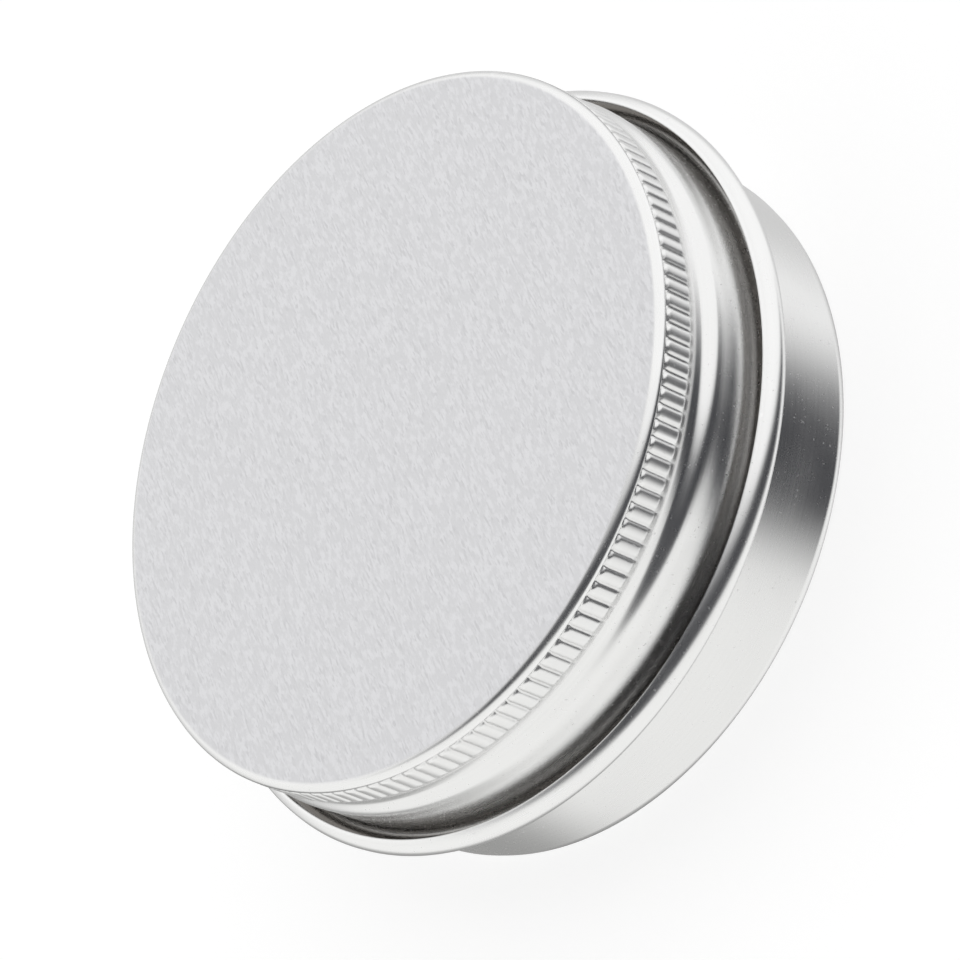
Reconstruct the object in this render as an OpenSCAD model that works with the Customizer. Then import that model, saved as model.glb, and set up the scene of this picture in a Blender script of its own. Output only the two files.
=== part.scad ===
// Round aluminium screw-lid tin for candles and balms.
// Three pieces: a drawn base cup with a threaded neck, a drawn lid whose lower edge
// is rolled outward, and a foam sealing disc under the lid's top.
// Origin at the centre of the resting ring, +Z up the axis of the tin.

/* [Overall size] */
// Height of the closed tin
tin_h = 28.7; // [24:0.1:40]
// Largest diameter, over the rolled rim of the lid
rim_d = 83; // [70:1:100]
// Thickness of the aluminium sheet
sheet_t = 0.4; // [0.3:0.05:0.5]

/* [Lid] */
// Radius of the rounded edge of the lid's top, on the outside
top_edge_r = 1; // [0.8:0.1:1.6]
// Number of grip ribs round the lid
rib_count = 142; // [60:2:180]
// Height of the ribbed band
rib_band_h = 4; // [2:0.1:5]
// How deep the valleys between the ribs are
rib_h = 0.4; // [0.2:0.05:0.6]
// Outside radius of the rolled rim's section
roll_r = 1.55; // [1.2:0.05:1.8]
// How far round the rim is rolled, from the skirt
roll_sweep = 255; // [180:5:270]

/* [Base] */
// Radius of the rounded bottom corner, on the outside
base_corner_r = 1.7; // [1:0.1:2.5]
// Depth of the shallow panel in the underside
panel_h = 0.8; // [0.4:0.1:1.5]

/* [Thread] */
// Lift of the lid for one full turn
thread_lead = 4; // [3:0.25:5]
// Gap left along the axis between the two threads
thread_gap = 0.35; // [0.3:0.05:0.6]

/* [Hidden] */
$fn = 96;
aluminium = "#d9dbdc";
foam = "#f4f4f1";
half_t = sheet_t / 2;
arc_step = 15;            // largest angle between two points of a rounded profile
wave_steps = 6;           // edges along one flank of a wavy profile

// Lid radii, all to the middle of the sheet
skirt_r = rim_d / 2 - 2 * roll_r + half_t;
top_wall_r = skirt_r - 0.05;
knurl_wall_r = top_wall_r - rib_h;
recess_r = skirt_r - 0.6;
bead_crest_r = skirt_r + 0.15;

// Lid heights
knurl_top_z = tin_h - top_edge_r;
knurl_foot_z = knurl_top_z - rib_band_h + 0.2;
recess_z = knurl_foot_z - 1;
recess_h = 0.6;
bead_crest_z = recess_z - recess_h - 1.8;
skirt_top_z = bead_crest_z - 2.2;
skirt_h = 4.25;
roll_z = skirt_top_z - skirt_h;

// Base radii, to the middle of the sheet, and heights
body_r = skirt_r - 0.6;
neck_r = skirt_r - 2.4;
mouth_r = neck_r - 0.4;
mouth_roll_r = 0.45;
shoulder_r = (body_r - neck_r) / 2;
shoulder_z = roll_z - 2.75;
liner_h = 1.35;
liner_gap = 0.08;
mouth_top_z = tin_h - sheet_t - liner_h - 2 * liner_gap;
mouth_roll_z = mouth_top_z - mouth_roll_r - half_t;
ring_w = 1.2;             // flat width of the ring that the tin stands on

// Thread sections: radii at root and tip, widths along the axis
thread_root_w = 1.5;
thread_tip_w = 0.75;
neck_tip_r = neck_r + 1.3;
lid_tip_r = skirt_r - 1.4;
thread_step = 6;          // degrees between two sections of a thread
thread_fade = 30;         // degrees over which a thread dies away at its ends
neck_thread_from = -268;
neck_thread_to = 92;
lid_thread_to = 2;
neck_thread_z = roll_z + 4.85;          // height of the neck's thread at angle 0
lid_thread_z = neck_thread_z - thread_tip_w - thread_gap - 0.1;

// Points along an arc of radius r about [x, z], from angle a to angle b
function arc(x, z, r, a, b) =
    let (n = ceil(abs(b - a) / arc_step))
    [for (i = [0:n]) let (t = a + (b - a) * i / n) [x + r * cos(t), z + r * sin(t)]];

// Points on the way from a to b along a cosine, level at both ends
function wave(a, b) =
    [for (i = [0:wave_steps]) let (t = i / wave_steps, k = (1 - cos(180 * t)) / 2)
        [a[0] + (b[0] - a[0]) * k, a[1] + (b[1] - a[1]) * t]];

// A path without its first point
function rest_of(path) = [for (i = [1:len(path) - 1]) path[i]];

// The direction square to the edge of a path that starts at point i
function edge_normal(path, i) =
    let (d = path[i + 1] - path[i])
    [-d[1], d[0]] / norm(d);

// The step from point i of a path that keeps both edges beside it parallel
function mitre(path, i) =
    let (a = edge_normal(path, max(i - 1, 0)), b = edge_normal(path, min(i, len(path) - 2)))
    (a + b) / (1 + a * b);

// A path moved sideways by s
function beside(path, s) = [for (i = [0:len(path) - 1]) path[i] + s * mitre(path, i)];

function reversed(list) = [for (i = [len(list) - 1:-1:0]) list[i]];

// A sheet-metal shell turned about Z from the path of the middle of the sheet
module turned_sheet(path) {
    outline = concat(beside(path, half_t), reversed(beside(path, -half_t)));
    rotate_extrude() polygon(outline);
}

// Middle of the lid's sheet, from the centre of the top to the raw edge of the rim
function lid_path() =
    let (bead_foot = [recess_r, recess_z - recess_h], crest = [bead_crest_r, bead_crest_z])
    concat(
        [[0, tin_h - half_t]],
        arc(top_wall_r - top_edge_r + half_t, knurl_top_z, top_edge_r - half_t, 90, 0),
        rest_of(wave([top_wall_r, knurl_top_z], [knurl_wall_r, knurl_top_z - 0.5])),
        wave([knurl_wall_r, knurl_foot_z], [recess_r, recess_z]),
        wave(bead_foot, crest),
        rest_of(wave(crest, [skirt_r, skirt_top_z])),
        arc(skirt_r + roll_r - half_t, roll_z, roll_r - half_t, 180, 180 + roll_sweep)
    );

// Middle of the base's sheet, from the centre of the underside to the rolled mouth
function base_path() =
    let (corner_x = body_r - base_corner_r + half_t)
    concat(
        [[0, panel_h + half_t], [corner_x - ring_w - 1.2, panel_h + half_t],
         [corner_x - ring_w, half_t]],
        arc(corner_x, base_corner_r, base_corner_r - half_t, -90, 0),
        arc(body_r - shoulder_r, shoulder_z, shoulder_r, 0, 90),
        arc(neck_r + shoulder_r, shoulder_z + 2 * shoulder_r, shoulder_r, 270 - arc_step, 180),
        [[neck_r, mouth_roll_z - 1.8], [mouth_r, mouth_roll_z - 1]],
        arc(mouth_r + mouth_roll_r, mouth_roll_z, mouth_roll_r, 180, -110)
    );

// One section of a thread at angle a and height z, from its inner to its outer radius
function thread_section(ri, wi, ro, wo, a, z) =
    [for (p = [[ri, -wi / 2], [ro, -wo / 2], [ro, wo / 2], [ri, wi / 2]])
        [p[0] * cos(a), p[0] * sin(a), z + p[1]]];

// A thread from angle a0 to a1 that stands from root_r towards tip_r, outward or inward
module thread(root_r, tip_r, z, a0, a1) {
    steps = (a1 - a0) / thread_step;
    sections = [for (i = [0:steps])
        let (a = a0 + i * thread_step)
        let (rise = max(0.15, min(1, (a - a0) / thread_fade, (a1 - a) / thread_fade)))
        let (r = root_r + (tip_r - root_r) * rise)
        let (h = z + thread_lead * a / 360)
        tip_r > root_r
            ? thread_section(root_r, thread_root_w, r, thread_tip_w, a, h)
            : thread_section(r, thread_tip_w, root_r, thread_root_w, a, h)];
    sides = [for (i = [0:steps - 1]) for (j = [0:3])
        [4 * i + j, 4 * i + (j + 1) % 4, 4 * i + 4 + (j + 1) % 4, 4 * i + 4 + j]];
    polyhedron(
        points = [for (s = sections) each s],
        faces = concat([[3, 2, 1, 0]], sides, [[for (j = [0:3]) 4 * steps + j]])
    );
}

// The ring of grip ribs, each a flat-topped ridge as high as the wall above it
module grip_ribs() {
    pitch = 360 / rib_count;
    corners = [[knurl_wall_r + half_t, -0.34], [knurl_wall_r + half_t + rib_h, -0.16],
               [knurl_wall_r + half_t + rib_h, 0.16], [knurl_wall_r + half_t, 0.34]];
    outline = [for (i = [0:rib_count - 1]) for (c = corners)
        c[0] * [cos((i + c[1]) * pitch), sin((i + c[1]) * pitch)]];
    translate([0, 0, knurl_foot_z])
        linear_extrude(rib_band_h - 0.3)
            difference() {
                polygon(outline);
                circle(knurl_wall_r + half_t - 0.05);
            }
}

// Lid: flat top, grip ribs, stiffening bead, plain skirt and rolled rim, with its thread inside
module lid_shell() {
    color(aluminium) {
        union() {
            turned_sheet(lid_path());
            grip_ribs();
            thread(skirt_r, lid_tip_r, lid_thread_z, neck_thread_from, lid_thread_to);
        }
    }
}

// Base: straight-walled cup with a shoulder, a threaded neck and a rolled mouth
module base_cup() {
    color(aluminium) {
        union() {
            turned_sheet(base_path());
            thread(neck_r, neck_tip_r, neck_thread_z, neck_thread_from, neck_thread_to);
        }
    }
}

// Foam disc that seals the mouth
module lid_liner() {
    liner_r = knurl_wall_r - top_edge_r - 0.1;
    color(foam)
        translate([0, 0, tin_h - sheet_t - liner_gap - liner_h])
            cylinder(r = liner_r, h = liner_h);
}

base_cup();
lid_shell();
lid_liner();
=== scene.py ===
"""Aluminium screw-lid candle tin: detailed sheet-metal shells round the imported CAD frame."""
import math

import bmesh
import bpy
from mathutils import Matrix, Vector


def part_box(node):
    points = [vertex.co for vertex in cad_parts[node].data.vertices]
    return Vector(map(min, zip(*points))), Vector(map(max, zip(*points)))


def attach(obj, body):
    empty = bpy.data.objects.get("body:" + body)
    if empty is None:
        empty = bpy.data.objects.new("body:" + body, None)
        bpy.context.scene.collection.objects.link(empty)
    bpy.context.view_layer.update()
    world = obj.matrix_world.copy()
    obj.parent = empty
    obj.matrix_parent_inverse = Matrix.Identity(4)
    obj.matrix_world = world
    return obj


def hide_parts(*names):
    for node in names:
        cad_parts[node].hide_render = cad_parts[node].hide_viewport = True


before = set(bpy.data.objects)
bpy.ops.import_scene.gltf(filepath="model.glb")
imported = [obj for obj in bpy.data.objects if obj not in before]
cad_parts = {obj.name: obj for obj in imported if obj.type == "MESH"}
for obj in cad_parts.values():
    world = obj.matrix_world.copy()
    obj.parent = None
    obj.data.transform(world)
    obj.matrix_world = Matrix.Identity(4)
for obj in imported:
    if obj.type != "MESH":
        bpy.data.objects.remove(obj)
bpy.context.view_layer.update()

MM = 0.001
TAU = 2 * math.pi

# ---------------------------------------------------------------- driving sizes, in millimetres
LID_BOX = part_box("lid_shell")
BASE_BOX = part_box("base_cup")
LINER_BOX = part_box("lid_liner")
TIN_H = LID_BOX[1].z / MM
RIM_R = LID_BOX[1].x / MM
ROLL_FOOT_Z = LID_BOX[0].z / MM
BODY_R = BASE_BOX[1].x / MM
MOUTH_Z = BASE_BOX[1].z / MM
LINER_R = LINER_BOX[1].x / MM
LINER_Z = LINER_BOX[0].z / MM
LINER_H = (LINER_BOX[1].z - LINER_BOX[0].z) / MM
SHEET = 0.4
HALF = SHEET / 2
AXIS_R = 0.001  # so near the axis that a ring of points there is merged into one

# Radii of the lid, to the middle of the sheet
ROLL_R = 1.55
ROLL_SWEEP = 255
SKIRT_R = RIM_R - 2 * ROLL_R + HALF
TOP_WALL_R = SKIRT_R - 0.05
KNURL_R = TOP_WALL_R - 0.4
RECESS_R = SKIRT_R - 0.6
BEAD_R = SKIRT_R + 0.15
LIP_SWEEP = 32
LIP_GROOVE = 0.08
LIP_GROOVE_ANGLE = 57
LIP_GROOVE_SPREAD = 5

# Heights of the lid. The edge of the top turns in a little above the ribs, so that they stand free
EDGE_R = 1
EDGE_END_ANGLE = 20
KNURL_TOP_Z = TIN_H - EDGE_R
VALLEY_TOP_Z = KNURL_TOP_Z - 0.05
KNURL_FOOT_Z = KNURL_TOP_Z - 3.8
RECESS_Z = KNURL_FOOT_Z - 1
RECESS_H = 0.6
BEAD_Z = RECESS_Z - RECESS_H - 1.8
SKIRT_TOP_Z = BEAD_Z - 2.2
ROLL_Z = ROLL_FOOT_Z + ROLL_R

# Grip ribs, as high as the wall above them
RIBS = 142
RIB_H = TOP_WALL_R - KNURL_R
RIB_START_Z = KNURL_TOP_Z + 0.06
RIB_END_ROUND = 0.85
RIB_END_LENGTH = 0.5
RIB_CURVE = 2.5
RIB_FOOT_Z = KNURL_FOOT_Z - 0.35
RIB_FOOT_LENGTH = 0.95

# Base
CORNER_R = 1.7
PANEL_H = 0.8
NECK_R = SKIRT_R - 2.4
MOUTH_R = NECK_R - 0.4
MOUTH_ROLL_R = 0.45
NECK_ROWS = 40  # rows of points up the neck, close enough together for its thread

# Threads, with their angles in degrees and their heights at angle 0
THREAD_LEAD = 4
THREAD_FADE = 30
THREAD_FROM = -268
NECK_THREAD_TO = 92
NECK_THREAD_Z = ROLL_Z + 4.85
NECK_THREAD_H = 1.05
NECK_THREAD_HALF_W = 0.8
NECK_THREAD_FLANK = 0.62
LID_THREAD_TO = 2
LID_THREAD_Z = NECK_THREAD_Z - 1.2
LID_THREAD_H = 1.4
LID_THREAD_HALF_W = 0.7

# Sections round Z: their places within each rib's pitch on the lid, and their number elsewhere
RIB_PLACES = (0, 0.1, 0.3, 0.5, 0.7, 0.9)
BASE_SECTIONS = 240
FOAM_SECTIONS = 144


# ---------------------------------------------------------------- outlines
def arc(x, z, r, a, b, step=15):
    """Points on an arc about (x, z) from angle a to angle b, in degrees."""
    n = max(1, math.ceil(abs(b - a) / step))
    turns = [math.radians(a + (b - a) * i / n) for i in range(n + 1)]
    return [(x + r * math.cos(t), z + r * math.sin(t)) for t in turns]


def line(a, b, n):
    """n points on the way from a to b, without b."""
    return [(a[0] + (b[0] - a[0]) * i / n, a[1] + (b[1] - a[1]) * i / n) for i in range(n)]


def wave(a, b, n):
    """n points after a, up to b, along a cosine that is level at both ends."""
    ways = [i / n for i in range(1, n + 1)]
    rises = [(1 - math.cos(math.pi * t)) / 2 for t in ways]
    return [(a[0] + (b[0] - a[0]) * k, a[1] + (b[1] - a[1]) * t) for t, k in zip(ways, rises)]


def beside(path, s):
    """The path moved sideways by s, with its edges kept parallel."""
    normals = []
    for (x0, z0), (x1, z1) in zip(path, path[1:]):
        d = math.hypot(x1 - x0, z1 - z0)
        normals.append((-(z1 - z0) / d, (x1 - x0) / d))
    out = []
    for i, (x, z) in enumerate(path):
        a = normals[max(i - 1, 0)]
        b = normals[min(i, len(normals) - 1)]
        k = s / (1 + a[0] * b[0] + a[1] * b[1])
        out.append((x + k * (a[0] + b[0]), z + k * (a[1] + b[1])))
    return out


def supported(path, near=0.12, least=0.8):
    """The path with a point close to each end of its longer edges, so that they shade flat."""
    out = []
    for a, b in zip(path, path[1:]):
        out.append(a)
        length = math.dist(a, b)
        if length > least:
            for t in (near / length, 1 - near / length):
                out.append((a[0] + (b[0] - a[0]) * t, a[1] + (b[1] - a[1]) * t))
    return out + [path[-1]]


def lid_path(fine):
    """Middle of the lid's sheet, from the centre of the top to the raw edge of the rolled rim."""
    edge_x = TOP_WALL_R - EDGE_R + HALF
    steps = 8 if fine else 5
    edge_step = 14 if fine else 35
    top = [(AXIS_R, TIN_H - HALF)]
    top += arc(edge_x, KNURL_TOP_Z, EDGE_R - HALF, 90, EDGE_END_ANGLE, edge_step)
    knurl = wave(top[-1], (KNURL_R, VALLEY_TOP_Z), steps - 4)
    if fine:  # more rows of points, closest where the ends of the ribs are round
        knurl += line((KNURL_R, VALLEY_TOP_Z - 0.1), (KNURL_R, VALLEY_TOP_Z - 0.6), 5)
        knurl += line((KNURL_R, VALLEY_TOP_Z - 0.8), (KNURL_R, KNURL_FOOT_Z + 0.7), 2)
        knurl += line((KNURL_R, KNURL_FOOT_Z + 0.7), (KNURL_R, KNURL_FOOT_Z), 4)
    knurl.append((KNURL_R, KNURL_FOOT_Z))
    bead_foot, crest = (RECESS_R, RECESS_Z - RECESS_H), (BEAD_R, BEAD_Z)
    bead = wave(knurl[-1], (RECESS_R, RECESS_Z), steps - 4) + [bead_foot]
    bead += wave(bead_foot, crest, steps - 1) + wave(crest, (SKIRT_R, SKIRT_TOP_Z), steps - 4)
    return top + knurl + bead + (rim_roll(18, 5) if fine else rim_roll(20, 20))


def rim_roll(step, edge_step):
    """The rolled rim, with the shallow groove that the curling tool leaves beside the raw edge."""
    section = arc(0, 0, 1, 180, 180 + ROLL_SWEEP - LIP_SWEEP, step)
    section += arc(0, 0, 1, 180 + ROLL_SWEEP - LIP_SWEEP, 180 + ROLL_SWEEP, edge_step)[1:]
    out = []
    for x, z in section:
        a = math.degrees(math.atan2(z, x))
        off_groove = (a - LIP_GROOVE_ANGLE) / LIP_GROOVE_SPREAD
        r = ROLL_R - HALF - LIP_GROOVE * math.exp(-(off_groove ** 2))
        out.append((SKIRT_R + ROLL_R - HALF + r * x, ROLL_Z + r * z))
    return out


def base_path(fine):
    """Middle of the base's sheet, from the centre of the underside to the rolled mouth."""
    body = BODY_R - HALF
    corner_x = body - CORNER_R + HALF
    shoulder = (body - NECK_R) / 2
    shoulder_z = ROLL_Z - 2.75
    shoulder_top_z = shoulder_z + 2 * shoulder
    roll_z = MOUTH_Z - MOUTH_ROLL_R - HALF
    step = 10 if fine else 30
    return (
        [(AXIS_R, PANEL_H + HALF), (corner_x - 2.4, PANEL_H + HALF), (corner_x - 1.2, HALF)]
        + arc(corner_x, CORNER_R, CORNER_R - HALF, -90, 0, step)
        + arc(body - shoulder, shoulder_z, shoulder, 0, 90, step)
        + arc(NECK_R + shoulder, shoulder_top_z, shoulder, 270 - step, 180, step)
        + line((NECK_R, shoulder_top_z + 0.5), (NECK_R, roll_z - 1.8), NECK_ROWS if fine else 1)
        + [(NECK_R, roll_z - 1.8), (MOUTH_R, roll_z - 1)]
        + arc(MOUTH_R + MOUTH_ROLL_R, roll_z, MOUTH_ROLL_R, 180, -110, 18)
    )


def sheet_outline(path_of):
    """Closed outline of the sheet: its outer face, a round raw edge and its inner face."""
    outer = beside(supported(path_of(True)), HALF)
    inner = beside(supported(path_of(False)), -HALF)
    (x0, z0), (x1, z1) = outer[-1], inner[-1]
    start = math.degrees(math.atan2(z0 - z1, x0 - x1))
    edge = arc((x0 + x1) / 2, (z0 + z1) / 2, HALF, start, start - 180, 45)[1:-1]
    return [(p, 1) for p in outer] + [(p, 0) for p in edge] + [(p, -1) for p in reversed(inner)]


# ---------------------------------------------------------------- meshes
def even_angles(count):
    """That many angles, evenly round the circle, in radians."""
    return [i / count * TAU for i in range(count)]


def turned(bm, outline, angles, shape=None):
    """Turns a closed outline about Z. shape(x, z, angle, side) may move a point outward."""
    rings = []
    for a in angles:
        ring = []
        for (x, z), side in outline:
            r = x + (shape(x, z, a, side) if shape else 0)
            ring.append(bm.verts.new((r * math.cos(a) * MM, r * math.sin(a) * MM, z * MM)))
        rings.append(ring)
    skin(bm, rings, True)


def skin(bm, rings, closed):
    """Faces between rings of points. An open run of rings gets a face at each end."""
    count = len(rings[0])
    for i, ring in enumerate(rings if closed else rings[:-1]):
        after = rings[(i + 1) % len(rings)]
        for j in range(count):
            k = (j + 1) % count
            bm.faces.new((ring[j], after[j], after[k], ring[k]))
    if not closed:
        bm.faces.new(rings[0])
        bm.faces.new(rings[-1])


def finished(name, bm):
    """The mesh made into a smooth object."""
    bmesh.ops.remove_doubles(bm, verts=bm.verts, dist=1e-5)
    bmesh.ops.recalc_face_normals(bm, faces=bm.faces)
    mesh = bpy.data.meshes.new(name)
    bm.to_mesh(mesh)
    bm.free()
    mesh.polygons.foreach_set("use_smooth", [True] * len(mesh.polygons))
    obj = bpy.data.objects.new(name, mesh)
    bpy.context.collection.objects.link(obj)
    return obj


def smooth(x):
    """x kept within 0 and 1, with soft ends."""
    x = min(max(x, 0), 1)
    return x * x * (3 - 2 * x)


def rib_shape(x, z, angle, side):
    """How far the grip ribs stand out: rounded fingers with narrow valleys and a soft foot."""
    if side < 1 or not RECESS_Z < z < RIB_START_Z or x < RECESS_R:
        return 0
    across = 2 * ((angle / TAU * RIBS) % 1) - 1
    finger = (1 - abs(across) ** RIB_CURVE) ** (1 / RIB_CURVE)
    start_z = RIB_START_Z - RIB_END_ROUND * (1 - math.sqrt(1 - across * across))
    end = min(max((start_z - z) / RIB_END_LENGTH, 0), 1)
    foot = smooth((z - RIB_FOOT_Z) / RIB_FOOT_LENGTH)
    height = RIB_H * finger * math.sqrt(1 - (1 - end) ** 2) * foot
    wall_above_valley = max(0, x - KNURL_R - HALF)
    return max(0, height - wall_above_valley)


def thread_height(z, angle):
    """From 0 to 1, how high the neck's right-hand thread stands at that height and angle."""
    best = 0
    for turn in (-1, 0):  # an angle from 0 to TAU meets the thread on either of two turns
        t = math.degrees(angle) + 360 * turn
        if THREAD_FROM <= t <= NECK_THREAD_TO:
            d = abs(z - NECK_THREAD_Z - THREAD_LEAD * t / 360)
            fade = smooth(min(t - THREAD_FROM, NECK_THREAD_TO - t) / THREAD_FADE)
            best = max(best, smooth((NECK_THREAD_HALF_W - d) / NECK_THREAD_FLANK) * fade)
    return best


def neck_shape(x, z, angle, side):
    """How far the thread rolled into the neck pushes both faces of the sheet outward."""
    on_neck = abs(x - NECK_R) < HALF + 0.1
    return NECK_THREAD_H * thread_height(z, angle) if on_neck else 0


def lid_thread(bm):
    """The rounded ridge inside the skirt that runs under the neck's thread."""
    rings = []
    for a in range(THREAD_FROM, LID_THREAD_TO + 1, 3):
        rise = smooth(min(a - THREAD_FROM, LID_THREAD_TO - a) / THREAD_FADE)
        middle_z = LID_THREAD_Z + THREAD_LEAD * a / 360
        t = math.radians(a)
        ring = []
        for u in range(9):
            across = u / 4 - 1
            r = SKIRT_R - LID_THREAD_H * rise * math.sqrt(1 - across ** 4)
            z = middle_z + LID_THREAD_HALF_W * across
            ring.append(bm.verts.new((r * math.cos(t) * MM, r * math.sin(t) * MM, z * MM)))
        rings.append(ring)
    skin(bm, rings, False)


def lid_metal():
    """The lid's pressing. Its sections stand at the same places on every rib."""
    angles = [(i + f) / RIBS * TAU for i in range(RIBS) for f in RIB_PLACES]
    bm = bmesh.new()
    turned(bm, sheet_outline(lid_path), angles, rib_shape)
    lid_thread(bm)
    return finished("lid_metal", bm)


def base_metal():
    """The base's pressing."""
    bm = bmesh.new()
    turned(bm, sheet_outline(base_path), even_angles(BASE_SECTIONS), neck_shape)
    return finished("base_metal", bm)


def seal_foam():
    """Foam disc with round edges and the print of the mouth's roll in its underside."""
    edge = 0.3
    top = LINER_Z + LINER_H
    print_r = MOUTH_R + MOUTH_ROLL_R
    print_z = LINER_Z + 0.06
    under = [(AXIS_R, LINER_Z), (print_r - 1.1, LINER_Z), (print_r - 0.5, print_z)]
    under += [(print_r + 0.3, print_z), (LINER_R - edge, LINER_Z + 0.02)]
    outline = supported(under) + arc(LINER_R - edge, LINER_Z + edge, edge, -80, 0, 20)
    outline += arc(LINER_R - edge, top - edge, edge, 0, 90, 18) + [(AXIS_R, top)]
    bm = bmesh.new()
    turned(bm, [(p, 0) for p in outline], even_angles(FOAM_SECTIONS))
    return finished("seal_foam", bm)


# ---------------------------------------------------------------- nodes
def add(tree, kind, inputs=(), **settings):
    """A new shader node with its settings and its inputs, each a value or another node's output."""
    node = tree.nodes.new("ShaderNode" + kind)
    for key, value in settings.items():
        setattr(node, key, value)
    for key, value in dict(inputs).items():
        if isinstance(value, bpy.types.NodeSocket):
            tree.links.new(value, node.inputs[key])
        else:
            node.inputs[key].default_value = value
    return node


def maths(tree, operation, a, b):
    return add(tree, "Math", {0: a, 1: b}, operation=operation).outputs[0]


def dot(tree, a, b):
    return add(tree, "VectorMath", {0: a, 1: b}, operation="DOT_PRODUCT").outputs["Value"]


def scaled(tree, vector, scale):
    return add(tree, "VectorMath", {0: vector, 1: scale}, operation="MULTIPLY").outputs[0]


def ramp(tree, value, low, high, start=0, end=1):
    """start at low and end at high, with soft ends."""
    inputs = {"Value": value, "From Min": low, "From Max": high, "To Min": start, "To Max": end}
    return add(tree, "MapRange", inputs, interpolation_type="SMOOTHSTEP").outputs["Result"]


def blend(tree, factor, a, b):
    """Colour a where factor is 0 and b where it is 1."""
    node = add(tree, "Mix", {"Factor": factor}, data_type="RGBA")
    for key, value in (("A", a), ("B", b)):
        socket = next(s for s in node.inputs if s.name == key and s.type == "RGBA")
        if isinstance(value, bpy.types.NodeSocket):
            tree.links.new(value, socket)
        else:
            socket.default_value = (*value, 1)
    return next(s for s in node.outputs if s.type == "RGBA")


def shade(colour, share):
    """The colour darkened to that share of its brightness."""
    return [c * share for c in colour]


def noise(tree, vector, scale, detail=2):
    return add(tree, "TexNoise", {"Vector": vector, "Scale": scale, "Detail": detail}).outputs["Fac"]


def bump(tree, height, distance, under=None):
    """Bump of that height in metres, on top of another bump if there is one."""
    inputs = {"Height": height, "Distance": distance}
    if under:
        inputs["Normal"] = under
    return add(tree, "Bump", inputs).outputs["Normal"]


def material(name):
    m = bpy.data.materials.new(name)
    m.use_nodes = True
    return m, m.node_tree, m.node_tree.nodes["Principled BSDF"]


def mixed_with_clear(tree, shader):
    """A mix of the shader with a clear one, put in front of the material's output."""
    clear = add(tree, "BsdfTransparent")
    mix = add(tree, "MixShader", {1: shader.outputs[0], 2: clear.outputs[0]})
    tree.links.new(mix.outputs[0], tree.nodes["Material Output"].inputs["Surface"])
    return mix


# ---------------------------------------------------------------- materials
GRAIN_ANGLE = math.radians(60)
# Painted shade: the dark colour at the bottom of the rolled rim's channel
CHANNEL_PAINTED_SHADE = (0.19, 0.178, 0.165)
# Painted light: a brighter colour for the inside of the rolled rim, so that the skirt shows it lit
CURL_PAINTED_LIGHT = (0.96, 0.955, 0.95)
WORN_EDGE = (0.93, 0.93, 0.93)


def curl_inside(tree, height, radius):
    """1 on the inside of the rolled rim, within its channel."""
    across = maths(tree, "SUBTRACT", radius, (SKIRT_R + ROLL_R - HALF) * MM)
    up = maths(tree, "SUBTRACT", height, ROLL_Z * MM)
    offset = add(tree, "CombineXYZ", {0: across, 1: up}).outputs[0]
    distance = add(tree, "VectorMath", {0: offset}, operation="LENGTH").outputs["Value"]
    return ramp(tree, distance, (ROLL_R - 0.15) * MM, (ROLL_R - 0.3) * MM)


def knurl(tree, height):
    """1 on the grip ribs, which the knurling wheel leaves a little matte."""
    top = ramp(tree, height, (TIN_H - 0.7) * MM, (TIN_H - 1.2) * MM)
    foot = ramp(tree, height, (RECESS_Z + 0.2) * MM, KNURL_FOOT_Z * MM)
    return maths(tree, "MULTIPLY", top, foot)


def satin_top(tree, height, radius):
    """1 on the flat of the lid's top, up to its bright edge."""
    level = ramp(tree, height, (TIN_H - 0.25) * MM, (TIN_H - 0.05) * MM)
    within = ramp(tree, radius, (TOP_WALL_R - 0.5) * MM, (TOP_WALL_R - 0.9) * MM)
    return maths(tree, "MULTIPLY", level, within)


def satin_finish(tree, place, colour):
    """Colour, roughness and grain of rolled sheet with its grain at GRAIN_ANGLE to X."""
    inputs = {"Vector": place, "Angle": -GRAIN_ANGLE}
    along = add(tree, "VectorRotate", inputs, rotation_type="Z_AXIS").outputs[0]
    grain = noise(tree, scaled(tree, along, (0.5, 1, 1)), 1900, 3)
    scratch = noise(tree, scaled(tree, along, (0.22, 1, 1)), 3600, 2)
    satin = blend(tree, ramp(tree, grain, 0.35, 0.65), shade(colour, 0.84), colour)
    satin = blend(tree, ramp(tree, scratch, 0.35, 0.5), shade(colour, 0.84), satin)
    return satin, ramp(tree, grain, 0.3, 0.7, 0.36, 0.5), grain


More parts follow.
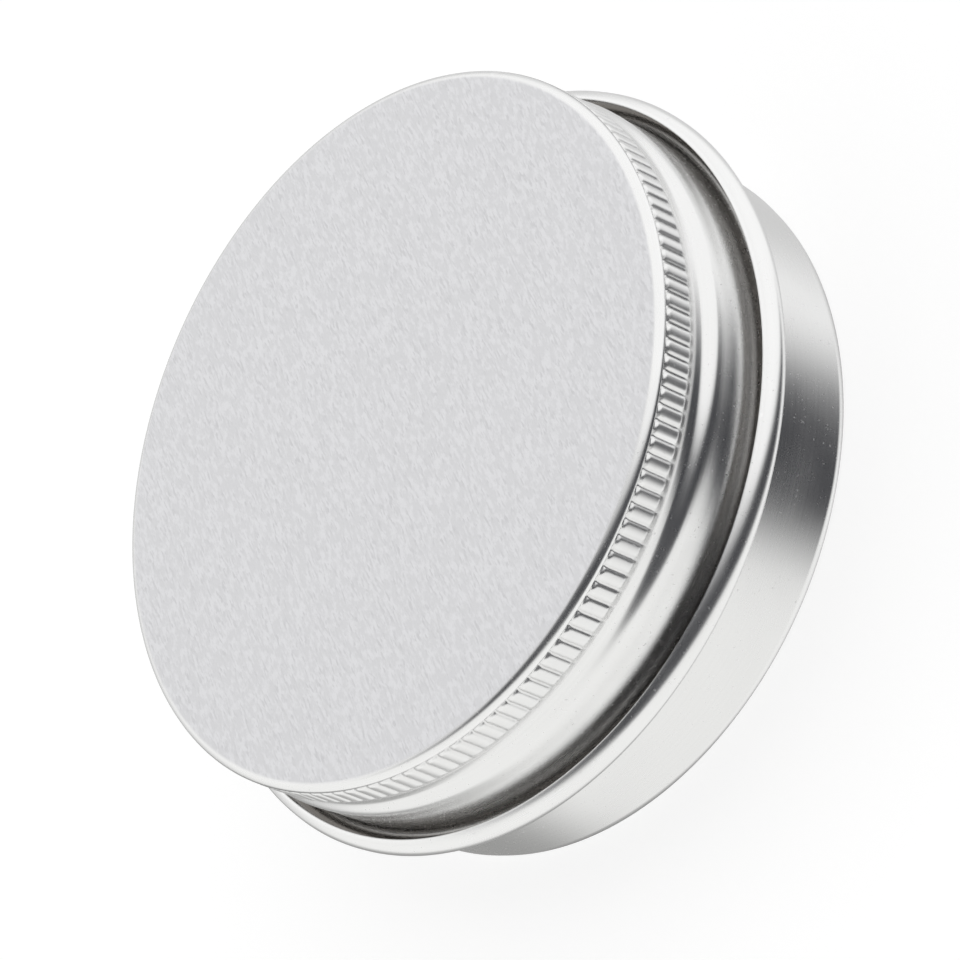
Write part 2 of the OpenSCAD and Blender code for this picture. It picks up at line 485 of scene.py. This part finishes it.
def aluminium(name, colour, satin_colour=None):
    """Drawn aluminium: fine rings, specks, bright worn edges, painted light on the inside of the
    rolled rim and painted shade deep in its channel.
    With a satin colour the lid's top is satin as well.
    """
    m, tree, shader = material(name)
    place = add(tree, "TexCoord").outputs["Object"]
    height = add(tree, "SeparateXYZ", {0: place}).outputs["Z"]
    flat = scaled(tree, place, (1, 1, 0))
    radius = add(tree, "VectorMath", {0: flat}, operation="LENGTH").outputs["Value"]

    section = add(tree, "CombineXYZ", {0: radius, 1: height}).outputs[0]
    rings = noise(tree, section, 3800, 3)
    patches = noise(tree, place, 95, 3)
    specks = ramp(tree, noise(tree, place, 2600, 1), 0.68, 0.82)
    edges = ramp(tree, add(tree, "NewGeometry").outputs["Pointiness"], 0.505, 0.56)

    base = blend(tree, rings, shade(colour, 0.93), colour)
    base = blend(tree, maths(tree, "MULTIPLY", patches, 0.35), base, shade(colour, 0.88))
    base = blend(tree, maths(tree, "MULTIPLY", edges, 0.5), base, WORN_EDGE)
    rough = ramp(tree, patches, 0.3, 0.7, 0.19, 0.25)
    for mask, amount in ((rings, 0.06), (specks, 0.2), (knurl(tree, height), 0.1)):
        rough = maths(tree, "ADD", rough, maths(tree, "MULTIPLY", mask, amount))
    normal = bump(tree, rings, 1.2e-6)

    if satin_colour:
        top = satin_top(tree, height, radius)
        satin, satin_rough, grain = satin_finish(tree, place, satin_colour)
        base = blend(tree, top, base, satin)
        rough = add(tree, "Mix", {0: top, 2: rough, 3: satin_rough}, data_type="FLOAT").outputs[0]
        normal = bump(tree, maths(tree, "MULTIPLY", grain, top), 2e-5, normal)

    inside = curl_inside(tree, height, radius)
    # Painted shade: darker towards the bottom of the rim's channel
    painted_shade_depth = ramp(tree, height, (ROLL_Z - 0.4) * MM, (ROLL_Z - 1.1) * MM)
    # Painted light: the inside of the rolled rim made brighter
    base = blend(tree, inside, base, CURL_PAINTED_LIGHT)
    base = blend(tree, maths(tree, "MULTIPLY", inside, painted_shade_depth), base, CHANNEL_PAINTED_SHADE)
    tree.links.new(base, shader.inputs["Base Color"])
    tree.links.new(rough, shader.inputs["Roughness"])
    tree.links.new(normal, shader.inputs["Normal"])
    shader.inputs["Metallic"].default_value = 1
    return m


def foam(name):
    """Closed-cell foam: matte, off-white, with a fine skin of cells."""
    m, tree, shader = material(name)
    place = add(tree, "TexCoord").outputs["Object"]
    cells = add(tree, "TexVoronoi", {"Vector": place, "Scale": 2200}).outputs["Distance"]
    clouds = noise(tree, place, 180, 3)
    colour = blend(tree, ramp(tree, clouds, 0.3, 0.7), (0.86, 0.86, 0.83), (0.93, 0.93, 0.91))
    colour = blend(tree, ramp(tree, cells, 0.0, 0.6, 0, 0.25), colour, (0.78, 0.78, 0.75))
    tree.links.new(colour, shader.inputs["Base Color"])
    tree.links.new(ramp(tree, clouds, 0.3, 0.7, 0.72, 0.88), shader.inputs["Roughness"])
    tree.links.new(bump(tree, cells, 3e-5), shader.inputs["Normal"])
    shader.inputs["Subsurface Weight"].default_value = 0.1
    shader.inputs["Subsurface Radius"].default_value = (0.001, 0.001, 0.001)
    return m


# ---------------------------------------------------------------- pieces
lid = lid_metal()
lid.data.materials.append(aluminium("lid_aluminium", (0.87, 0.87, 0.865), (0.79, 0.79, 0.805)))
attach(lid, "lid")
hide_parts("lid_shell")

base = base_metal()
base.data.materials.append(aluminium("base_aluminium", (0.84, 0.84, 0.835)))
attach(base, "base")
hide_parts("base_cup")

seal = seal_foam()
seal.data.materials.append(foam("seal_foam"))
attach(seal, "liner")
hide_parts("lid_liner")


# ---------------------------------------------------------------- camera
# Its place is counted in radii of the lid's flat top, from a point just under that top
FOCAL = 225
SENSOR = 36
DISC_R = 38.8
AIM = Vector((0, 0, TIN_H - 0.9)) * MM
EYE = Vector((-0.0334, -12.262, 9.997)) * DISC_R * MM + AIM
BACK = Vector((0, -0.764, 0.645)).normalized()
NEARLY_UP = Vector((0.9207, 0.2518, 0.2981))
RIGHT = NEARLY_UP.cross(BACK).normalized()
UP = BACK.cross(RIGHT)

camera_data = bpy.data.cameras.new("camera")
camera_data.lens = FOCAL
camera_data.sensor_width = SENSOR
camera_data.clip_end = 10
camera = bpy.data.objects.new("camera", camera_data)
bpy.context.collection.objects.link(camera)
camera.matrix_world = Matrix.Translation(EYE) @ Matrix((RIGHT, UP, BACK)).transposed().to_4x4()
bpy.context.scene.camera = camera


# ---------------------------------------------------------------- light and floor
# Directions in the studio, seen from the tin
ROOM = (0.95 * BACK + 0.3 * RIGHT).normalized()
FAR_SIDE = Vector((0.03, 0.8, -0.55)).normalized()
LOW_CORNER = Vector((-0.374, 0.596, -0.71)).normalized()

# What is seen in them
WALL_LOW_LIGHT = (1.02, 1.02, 1.01)
WALL_HIGH_LIGHT = (1.1, 1.1, 1.1)
FAR_SIDE_LIGHT = (0.72, 0.72, 0.72)
CORNER_LIGHT = (0.36, 0.36, 0.355)
ROOM_LIGHT = (0.06, 0.061, 0.067)


def dark_room(tree, direction, height):
    """1 on the dark room, a band behind the camera whose edges dip towards its middle."""
    near = dot(tree, direction, BACK)
    from_top = maths(tree, "ADD", height, maths(tree, "MULTIPLY", near, 0.15))
    from_foot = maths(tree, "ADD", height, maths(tree, "MULTIPLY", near, 0.36))
    under_top = ramp(tree, from_top, 0.56, 0.3)
    over_foot = ramp(tree, from_foot, -0.27, -0.05)
    facing = ramp(tree, dot(tree, direction, ROOM), -0.3, 0.15)
    return maths(tree, "MULTIPLY", maths(tree, "MULTIPLY", under_top, over_foot), facing)


def studio_world():
    """A white studio, dimmer low down and on its far side. The camera sees it plain white."""
    world = bpy.data.worlds.new("studio")
    world.use_nodes = True
    tree = world.node_tree
    direction = add(tree, "TexCoord").outputs["Generated"]
    height = dot(tree, direction, UP)
    far_side = ramp(tree, dot(tree, direction, FAR_SIDE), 0.45, 0.8)
    low_corner = ramp(tree, dot(tree, direction, LOW_CORNER), 0.76, 1)
    to_camera = add(tree, "LightPath").outputs["Is Camera Ray"]
    light = blend(tree, ramp(tree, height, -0.7, 0.5), WALL_LOW_LIGHT, WALL_HIGH_LIGHT)
    light = blend(tree, far_side, light, FAR_SIDE_LIGHT)
    light = blend(tree, low_corner, light, CORNER_LIGHT)
    light = blend(tree, dark_room(tree, direction, height), light, ROOM_LIGHT)
    light = blend(tree, to_camera, light, (1, 1, 1))
    tree.links.new(light, tree.nodes["Background"].inputs["Color"])
    bpy.context.scene.world = world


def studio_floor():
    """A plain white floor, clear from below and left out of the tin's reflections."""
    bm = bmesh.new()
    bmesh.ops.create_grid(bm, x_segments=1, y_segments=1, size=2)
    mesh = bpy.data.meshes.new("floor")
    bm.to_mesh(mesh)
    bm.free()
    floor = bpy.data.objects.new("floor", mesh)
    bpy.context.collection.objects.link(floor)
    m, tree, shader = material("floor")
    shader.inputs["Base Color"].default_value = (0.35, 0.35, 0.35, 1)
    shader.inputs["Roughness"].default_value = 1
    shader.inputs["Emission Color"].default_value = (1, 1, 1, 1)
    shader.inputs["Emission Strength"].default_value = 0.75
    from_below = add(tree, "NewGeometry").outputs["Backfacing"]
    tree.links.new(from_below, mixed_with_clear(tree, shader).inputs[0])
    mesh.materials.append(m)
    floor.visible_glossy = False
    return floor


studio_world()
studio_floor()
bpy.context.scene.view_settings.view_transform = "Standard"
